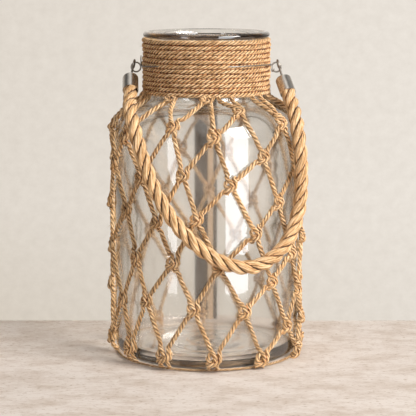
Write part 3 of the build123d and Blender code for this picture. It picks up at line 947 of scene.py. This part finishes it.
def make_wrap(material):
    """One cord wound twelve times round the neck: each turn lies level, and steps up behind."""
    rng = np.random.default_rng(SEED + 2)
    count = WRAP_TURNS * WRAP_STEPS
    turns = np.arange(count + 1) / WRAP_STEPS
    whole, part = np.floor(turns), turns % 1.0
    climb = np.clip((part - WRAP_CLIMB_FROM) / (1 - WRAP_CLIMB_FROM), 0, 1)
    climb = climb**2 * (3 - 2 * climb)
    level = np.minimum(whole + climb, WRAP_TURNS - 1.0)
    heights = WRAP_LOW[2] + (level + 0.5) * WRAP_PITCH
    heights = heights + 0.18 * MM * (wobble(count + 1, 1.0, rng, 50) - 1)
    out = np.clip(np.minimum(turns, WRAP_TURNS - turns) / WRAP_TUCK_TURNS, 0, 1)
    reach = WRAP_R - WRAP_TUCK * (1 - out) + 0.2 * MM * (wobble(count + 1, 1.0, rng, 30) - 1)
    bearing = 2 * pi * part + WRAP_START
    path = np.stack([reach * np.sin(bearing), -reach * np.cos(bearing), heights], axis=1)
    wrap = Strands()
    wrap.add(
        path,
        lobed(WRAP_CORD_R, plies=4, columns=24, fullness=0.45),
        lay=WRAP_LAY,
        scale=wobble(count + 1, 0.06, rng, 12),
        skew=FIBRE_SKEW / WRAP_LAY,
    )
    fuzz(wrap, path, WRAP_CORD_R, WRAP_HAIRS, rng)
    middle = (WRAP_LOW[2] + WRAP_HIGH[2]) / 2
    half = (WRAP_HIGH[2] - WRAP_LOW[2]) / 2 - 1.0 * MM
    # Painted shade: a thin dark band just inside the wrap, drawn in the groove colour, so that the
    # gaps between turns show dark.
    painted_shade_lining = [around(3 * k, NECK_R + 1.2 * MM, middle) for k in range(120)]
    wrap.add(painted_shade_lining, oblong(0.5 * MM, half, 24), closed=True)
    add_piece("wound_neck_cord", wrap.mesh("wrap"), material, "jute_cord", "jar", "neck_wrap_cord")


def oblong(half_width, half_height, columns):
    """A thin upright section with rounded ends, its crest 0 all round, so that all of it takes the
    painted groove shade.
    """
    angles = 2 * pi * np.arange(columns) / columns
    x, y = half_width * np.cos(angles), half_height * np.sin(angles)
    return np.stack([np.arctan2(y, x), np.hypot(x, y), np.zeros(columns)], axis=1)


# --- wires ---
def round_wire(radius):
    """A wire's section, as (angle, radius, crest) columns."""
    return np.array([(2 * pi * k / 10, radius, 1.0) for k in range(10)])


def wire_tube(strands, points, radius, taper=False):
    """A smooth wire through points, thinner towards its end where it tapers."""
    path = smooth_path(points, 0.5 * MM)
    scale = np.linspace(1.0, 0.55, len(path)) if taper else None
    strands.add(path, round_wire(radius), scale=scale)


def make_neck_wires(material):
    """The wire round the wrap, which sinks between its turns where it isn't seen."""
    for name, route in NECK_WIRE_ROUTES.items():
        wire = Strands()
        points = [around(angle, reach * MM, TIE_Z + rise * MM) for angle, reach, rise in route]
        wire_tube(wire, points, NECK_WIRE_R)
        node = f"neck_wire_{name}"
        add_piece(f"bent_{node}", wire.mesh(node), material, "galvanised_wire", "jar", node)


def make_twists(material):
    """The neck wires' ends, twisted together beside each eye, with one cut tail."""
    along = np.linspace(0, 1, 30)
    for name, side in (("left", -1), ("right", 1)):
        pair = Strands()
        for phase in (0, pi):
            turn = 2.5 * pi * along + phase
            across = side * (TWIST_FROM + TWIST_LENGTH * along)
            forward = TWIST_WIRE_R * np.cos(turn)
            height = TWIST_Z + TWIST_WIRE_R * np.sin(turn)
            path = np.stack([across, forward, height], axis=1)
            pair.add(path * MM, round_wire(TWIST_WIRE_R * MM))
        wire_tube(pair, np.array(TAILS[name]) * MM, TAIL_R, taper=True)
        node = f"{name}_wire_twist"
        add_piece(f"twisted_{node}", pair.mesh(node), material, "galvanised_wire", "jar", node)


# --- handle rope ---
def rope_spline():
    """The route as a smooth spline with the CAD's points as its control points."""
    route = [LEFT_END + LEFT_HANG * reach for reach in (ROPE_START, ROPE_START + LEFT_RUN)]
    route += [Vector(place) for place in ROPE_ROUTE]
    route += [RIGHT_END + RIGHT_HANG * reach for reach in (ROPE_START + RIGHT_RUN, ROPE_START)]
    curve = bpy.data.curves.new("rope_route", "CURVE")
    curve.dimensions = "3D"
    curve.resolution_u = 24
    spline = curve.splines.new("NURBS")
    spline.points.add(len(route) - 1)
    for point, place in zip(spline.points, route):
        point.co = (*(place * MM), 1.0)
    spline.order_u = 3
    spline.use_endpoint_u = True
    return curve


def spline_points(curve):
    """The points that Blender gives for a curve with no bevel."""
    holder = placed("route", curve)
    bpy.context.view_layer.update()
    mesh = bpy.data.meshes.new_from_object(holder)
    points = np.array([vertex.co[:] for vertex in mesh.vertices])
    bpy.data.objects.remove(holder)
    bpy.data.meshes.remove(mesh)
    return points


def even_points(points, step):
    """The same line, with its points an equal distance apart."""
    along = lengths_along(points)
    wanted = np.linspace(0, along[-1], int(along[-1] / step) + 1)
    return np.stack([np.interp(wanted, along, points[:, k]) for k in range(3)], axis=1)


def make_rope(material):
    """Three strands of fine yarns, laid round the route's spline."""
    rng = np.random.default_rng(SEED + 3)
    route = spline_points(rope_spline())
    centre = even_points(route, 0.9 * MM)
    _, normals, binormals, along = path_frames(centre)
    strand_r = ROPE_R * STRAND_SHARE
    orbit = ROPE_R - strand_r
    rope = Strands()
    for strand in range(3):
        turn = 2 * pi * along / ROPE_LAY + 2 * pi * strand / 3
        path = (
            centre
            + orbit * np.cos(turn)[:, None] * normals
            + orbit * np.sin(turn)[:, None] * binormals
        )
        rope.add(
            path,
            yarned(strand_r),
            lay=YARN_LAY,
            phase=rng.uniform(0, 2 * pi),
            scale=wobble(len(path), 0.025, rng, 16),
            tone=rng.uniform(0.4, 0.6),
            core=centre,
        )
    fuzz(rope, centre, ROPE_R, ROPE_HAIRS, rng, 0.8)
    mesh = rope.mesh("rope")
    piece = add_piece("laid_handle_rope", mesh, material, "jute_rope", "handle", "handle_rope")


# --- light and stage ---
TABLE_HALF = 20.0
TABLE_DROP = 0.2 * MM
WALL_Y = 0.1285
CARD_LOW = 1.0 * MM
WALL_COLOUR = (0.765, 0.715, 0.65)
STONE_DARK = (0.775, 0.655, 0.565)
STONE_PALE = (0.98, 0.895, 0.83)
PIT_COLOUR = (0.74, 0.68, 0.62)
# Painted shadow round the jar's foot.
CONTACT_SHADOW_COLOUR = (0.70, 0.66, 0.62)
AMBIENT_COLOUR = (0.95, 0.89, 0.82)


def look_at(thing, target):
    direction = Vector(target) - thing.location
    thing.rotation_mode = "QUATERNION"
    thing.rotation_quaternion = direction.to_track_quat("-Z", "Y")


def make_camera():
    """A long lens in front, a little above the jar."""
    data = bpy.data.cameras.new("camera")
    data.sensor_width = 36.0
    data.lens = 144.2
    camera = placed("camera", data)
    camera.location = (CAMERA_X, -CAMERA_REACH, CAMERA_HEIGHT)
    look_at(camera, (CAMERA_X, 0.0, AIM_HEIGHT))
    bpy.context.scene.camera = camera


def soft_lamp(name, place, target, width, height, watts, colour):
    data = bpy.data.lights.new(name, "AREA")
    data.shape = "RECTANGLE"
    data.size = width
    data.size_y = height
    data.energy = watts
    data.color = colour
    lamp = placed(name, data)
    lamp.location = place
    look_at(lamp, target)
    lamp.visible_camera = False


def flat_face(name, corners, surface):
    """One four-cornered object, with a material of its own."""
    mesh = bpy.data.meshes.new(name)
    mesh.from_pydata(corners, [], [(0, 1, 2, 3)])
    panel = placed(name, mesh)
    material, tree, shader = new_material(surface)
    mesh.materials.append(material)
    return panel, tree, shader


def make_floor():
    """A pale stone table as far as the wall line, and the plastered wall's colour beyond it,
    glowing.
    Both carry painted light and shade, and the table a painted contact shadow.
    """
    half = TABLE_HALF
    corners = [(-half, -half, 0), (half, -half, 0), (half, half, 0), (-half, half, 0)]
    table, tree, shader = flat_face("table", corners, "pale_stone")
    table.location.z = -TABLE_DROP
    coordinates = tree.coordinates()
    x, y, _ = tree.split(coordinates)
    away = tree.math("ADD", y, CAMERA_REACH)
    across = tree.math("DIVIDE", x, away)
    up = tree.math("DIVIDE", 1.0, away)
    sideways = tree.math("MULTIPLY_ADD", across, 3.2, 0.5)

    grain = tree.stretched(coordinates, (0.62, 1.0, 1.0))
    clouds = tree.noise(grain, 34.0, 8.0, 0.74)
    pitting = tree.noise(grain, 300.0, 3.0, 0.7)
    stone = tree.ramp(clouds, (0.36, STONE_DARK), (0.57, STONE_PALE))
    pits = tree.ramp(pitting, (0.33, PIT_COLOUR), (0.44, WHITE))
    # Painted light and shade: the floor is held at about 0.78 of its colour, and painted lighter at
    # the back on the left, where the jar's shadow falls.
    left = tree.ramp(up, (0.575, (1, 0.99, 0.98)), (0.68, (0.785, 0.785, 0.785)))
    right = tree.ramp(up, (0.575, (0.77, 0.77, 0.765)), (0.66, (0.77, 0.77, 0.77)))
    # Painted shadow: the floor is darkened where the occlusion finds the jar near it.
    contact = tree.open_air(14.0 * MM, samples=8)
    painted_contact_shadow = tree.ramp(contact, (0.0, CONTACT_SHADOW_COLOUR), (1.0, WHITE))
    for layer in (pits, tree.blend(sideways, left, right), painted_contact_shadow):
        stone = tree.blend(1.0, stone, layer, "MULTIPLY")
    inputs = {"Base Color": stone, "Roughness": 0.8, "Specular IOR Level": 0.2}
    tree.fill(shader, inputs)

    height = tree.math("MULTIPLY", up, CAMERA_HEIGHT)
    sheet = tree.add("CombineXYZ", {"X": across, "Y": height}).outputs["Vector"]
    mottle = tree.noise(sheet, 150.0, 6.0, 0.66)
    plaster = tree.ramp(mottle, (0.3, (0.95, 0.945, 0.94)), (0.7, (1.03, 1.03, 1.03)))
    # Painted light and shade on the glowing wall: darker towards its foot, more on the left, and
    # lighter towards the right.
    left = tree.ramp(up, (0.40, WHITE), (0.60, (0.88, 0.86, 0.825)))
    right = tree.ramp(up, (0.40, WHITE), (0.60, (0.945, 0.94, 0.93)))
    wall = tree.ramp(sideways, (0.0, (0.745, 0.685, 0.61)), (1.0, (0.84, 0.785, 0.715)))
    for layer in (tree.blend(sideways, left, right), plaster):
        wall = tree.blend(1.0, wall, layer, "MULTIPLY")
    # Painted shade: every ray but the camera's sees the wall darkened towards the sides.
    far_side = tree.math("ABSOLUTE", across)
    beside = tree.ramp(far_side, (0.15, WHITE), (0.32, (0.22, 0.20, 0.18)))
    bent = tree.blend(1.0, wall, beside, "MULTIPLY")
    glow = tree.emission(tree.blend(tree.ray("Camera"), bent, wall))
    beyond = tree.math("GREATER_THAN", y, WALL_Y)
    tree.finish(tree.choose(beyond, shader.outputs["BSDF"], glow))


def make_world():
    """Pale all round. Glass shows it pale behind, and gloss finds it dimmer at the sides."""
    world = bpy.data.worlds.new("studio")
    bpy.context.scene.world = world
    world.use_nodes = True
    tree = Tree(world.node_tree)

    def background(colour, strength=1.0):
        inputs = {"Color": colour, "Strength": strength}
        return tree.add("Background", inputs).outputs["Background"]

    x, y, z = tree.split(tree.coordinates("Generated"))
    depth = tree.spread(y, -1.0, 1.0)
    seen_through = tree.ramp(
        depth, (0.25, (0.20, 0.165, 0.13)), (0.5, (0.33, 0.30, 0.265)),
        (0.85, (0.40, 0.37, 0.34)), (0.95, WALL_COLOUR),
    )
    reflected = tree.ramp(
        depth, (0.0, (0.42, 0.40, 0.375)), (0.12, (0.36, 0.34, 0.315)),
        (0.32, (0.12, 0.105, 0.09)), (0.72, (0.13, 0.115, 0.10)), (0.95, WALL_COLOUR),
    )
    levels = ((0.20, 0.08), (0.32, 0.42), (0.48, 0.95), (0.56, 0.80), (0.62, 0.20), (0.72, 0.10))
    levels += ((0.84, 0.35),)
    stops = [(place, (level, level * 0.965, level * 0.92)) for place, level in levels]
    softbox = tree.ramp(tree.spread(x, -1.0, 1.0), *stops)
    overhead = tree.spread(z, 0.45, 0.7)
    result = background(AMBIENT_COLOUR, tree.spread(x, -1.0, 1.0, 0.20, 0.46))
    for kind, colour in (
        ("Transmission", seen_through),
        ("Glossy", tree.blend(overhead, reflected, softbox)),
        ("Camera", WALL_COLOUR),
    ):
        result = tree.choose(tree.ray(kind), result, background(colour))
    tree.finish(result, "World Output")


def card(name, azimuth, distance, width, high, colour, strength, seen_by):
    """A glowing card that lights no diffuse surface, shown only to gloss or only to the view
    through glass.
    The window cards are painted reflections; the others paint a dark band and a tan stripe into the
    view through the glass.
    """
    half, low = width / 2, CARD_LOW
    corners = [(-half, 0, low), (half, 0, low), (half, 0, high), (-half, 0, high)]
    panel, tree, _ = flat_face(name, corners, name)
    panel.location = around(azimuth, distance, 0.0)
    panel.rotation_euler = (0, 0, radians(azimuth))
    tree.finish(tree.emission(colour, strength))
    panel.visible_camera = False
    panel.visible_diffuse = False
    panel.visible_shadow = False
    panel.visible_volume_scatter = False
    panel.visible_glossy = seen_by == "gloss"
    panel.visible_transmission = seen_by == "glass"


# --- build ---
bpy.context.scene.view_settings.view_transform = "Standard"
make_camera()

rope_jute = jute("rope_jute", along=70, around_it=17)
cord_jute = jute("cord_jute", along=110, around_it=10)
nickel = worn_metal("satin_nickel", NICKEL, rough=(0.20, 0.30), scale=240.0, relief=0.05)
wire = worn_metal("galvanised_wire", WIRE_GREY, rough=(0.34, 0.5), scale=500.0, relief=0.1)

make_rope(rope_jute)
make_jar(clear_glass())
make_wrap(cord_jute)
make_net(cord_jute)
make_ring(cord_jute)
make_neck_wires(wire)
make_twists(wire)
for node in NODES.values():
    if "ferrule" in node.name or "eye" in node.name:
        node.data.materials.clear()
        node.data.materials.append(wire if "eye" in node.name else nickel)

make_world()
make_floor()
soft_lamp(
    "key", place=(2.0, -1.65, 1.8), target=(0, 0, 0.16), width=1.5, height=1.7, watts=124,
    colour=(1.0, 0.972, 0.94),
)
soft_lamp(
    "fill", place=(-1.1, -0.9, 0.7), target=(0, 0, 0.15), width=0.8, height=0.8, watts=1,
    colour=(1.0, 0.97, 0.93),
)
# Painted reflections: two glowing cards that light nothing diffusely and show only in gloss, as
# bright window strips.
card(
    "window_card", azimuth=34.5, distance=0.42, width=0.20, high=0.55,
    colour=(0.94, 0.97, 1.0), strength=7.0, seen_by="gloss",
)
card(
    "left_window_card", azimuth=-38.0, distance=0.42, width=0.08, high=0.50,
    colour=(0.97, 0.98, 1.0), strength=4.5, seen_by="gloss",
)
# A painted dark band and a painted tan stripe, seen only through the glass.
card(
    "dark_card", azimuth=180.4, distance=0.106, width=0.0235, high=0.262,
    colour=(0.03, 0.018, 0.008), strength=1.0, seen_by="glass",
)
card(
    "tan_card", azimuth=177.75, distance=0.104, width=0.0058, high=0.235,
    colour=(0.62, 0.42, 0.26), strength=1.0, seen_by="glass",
)
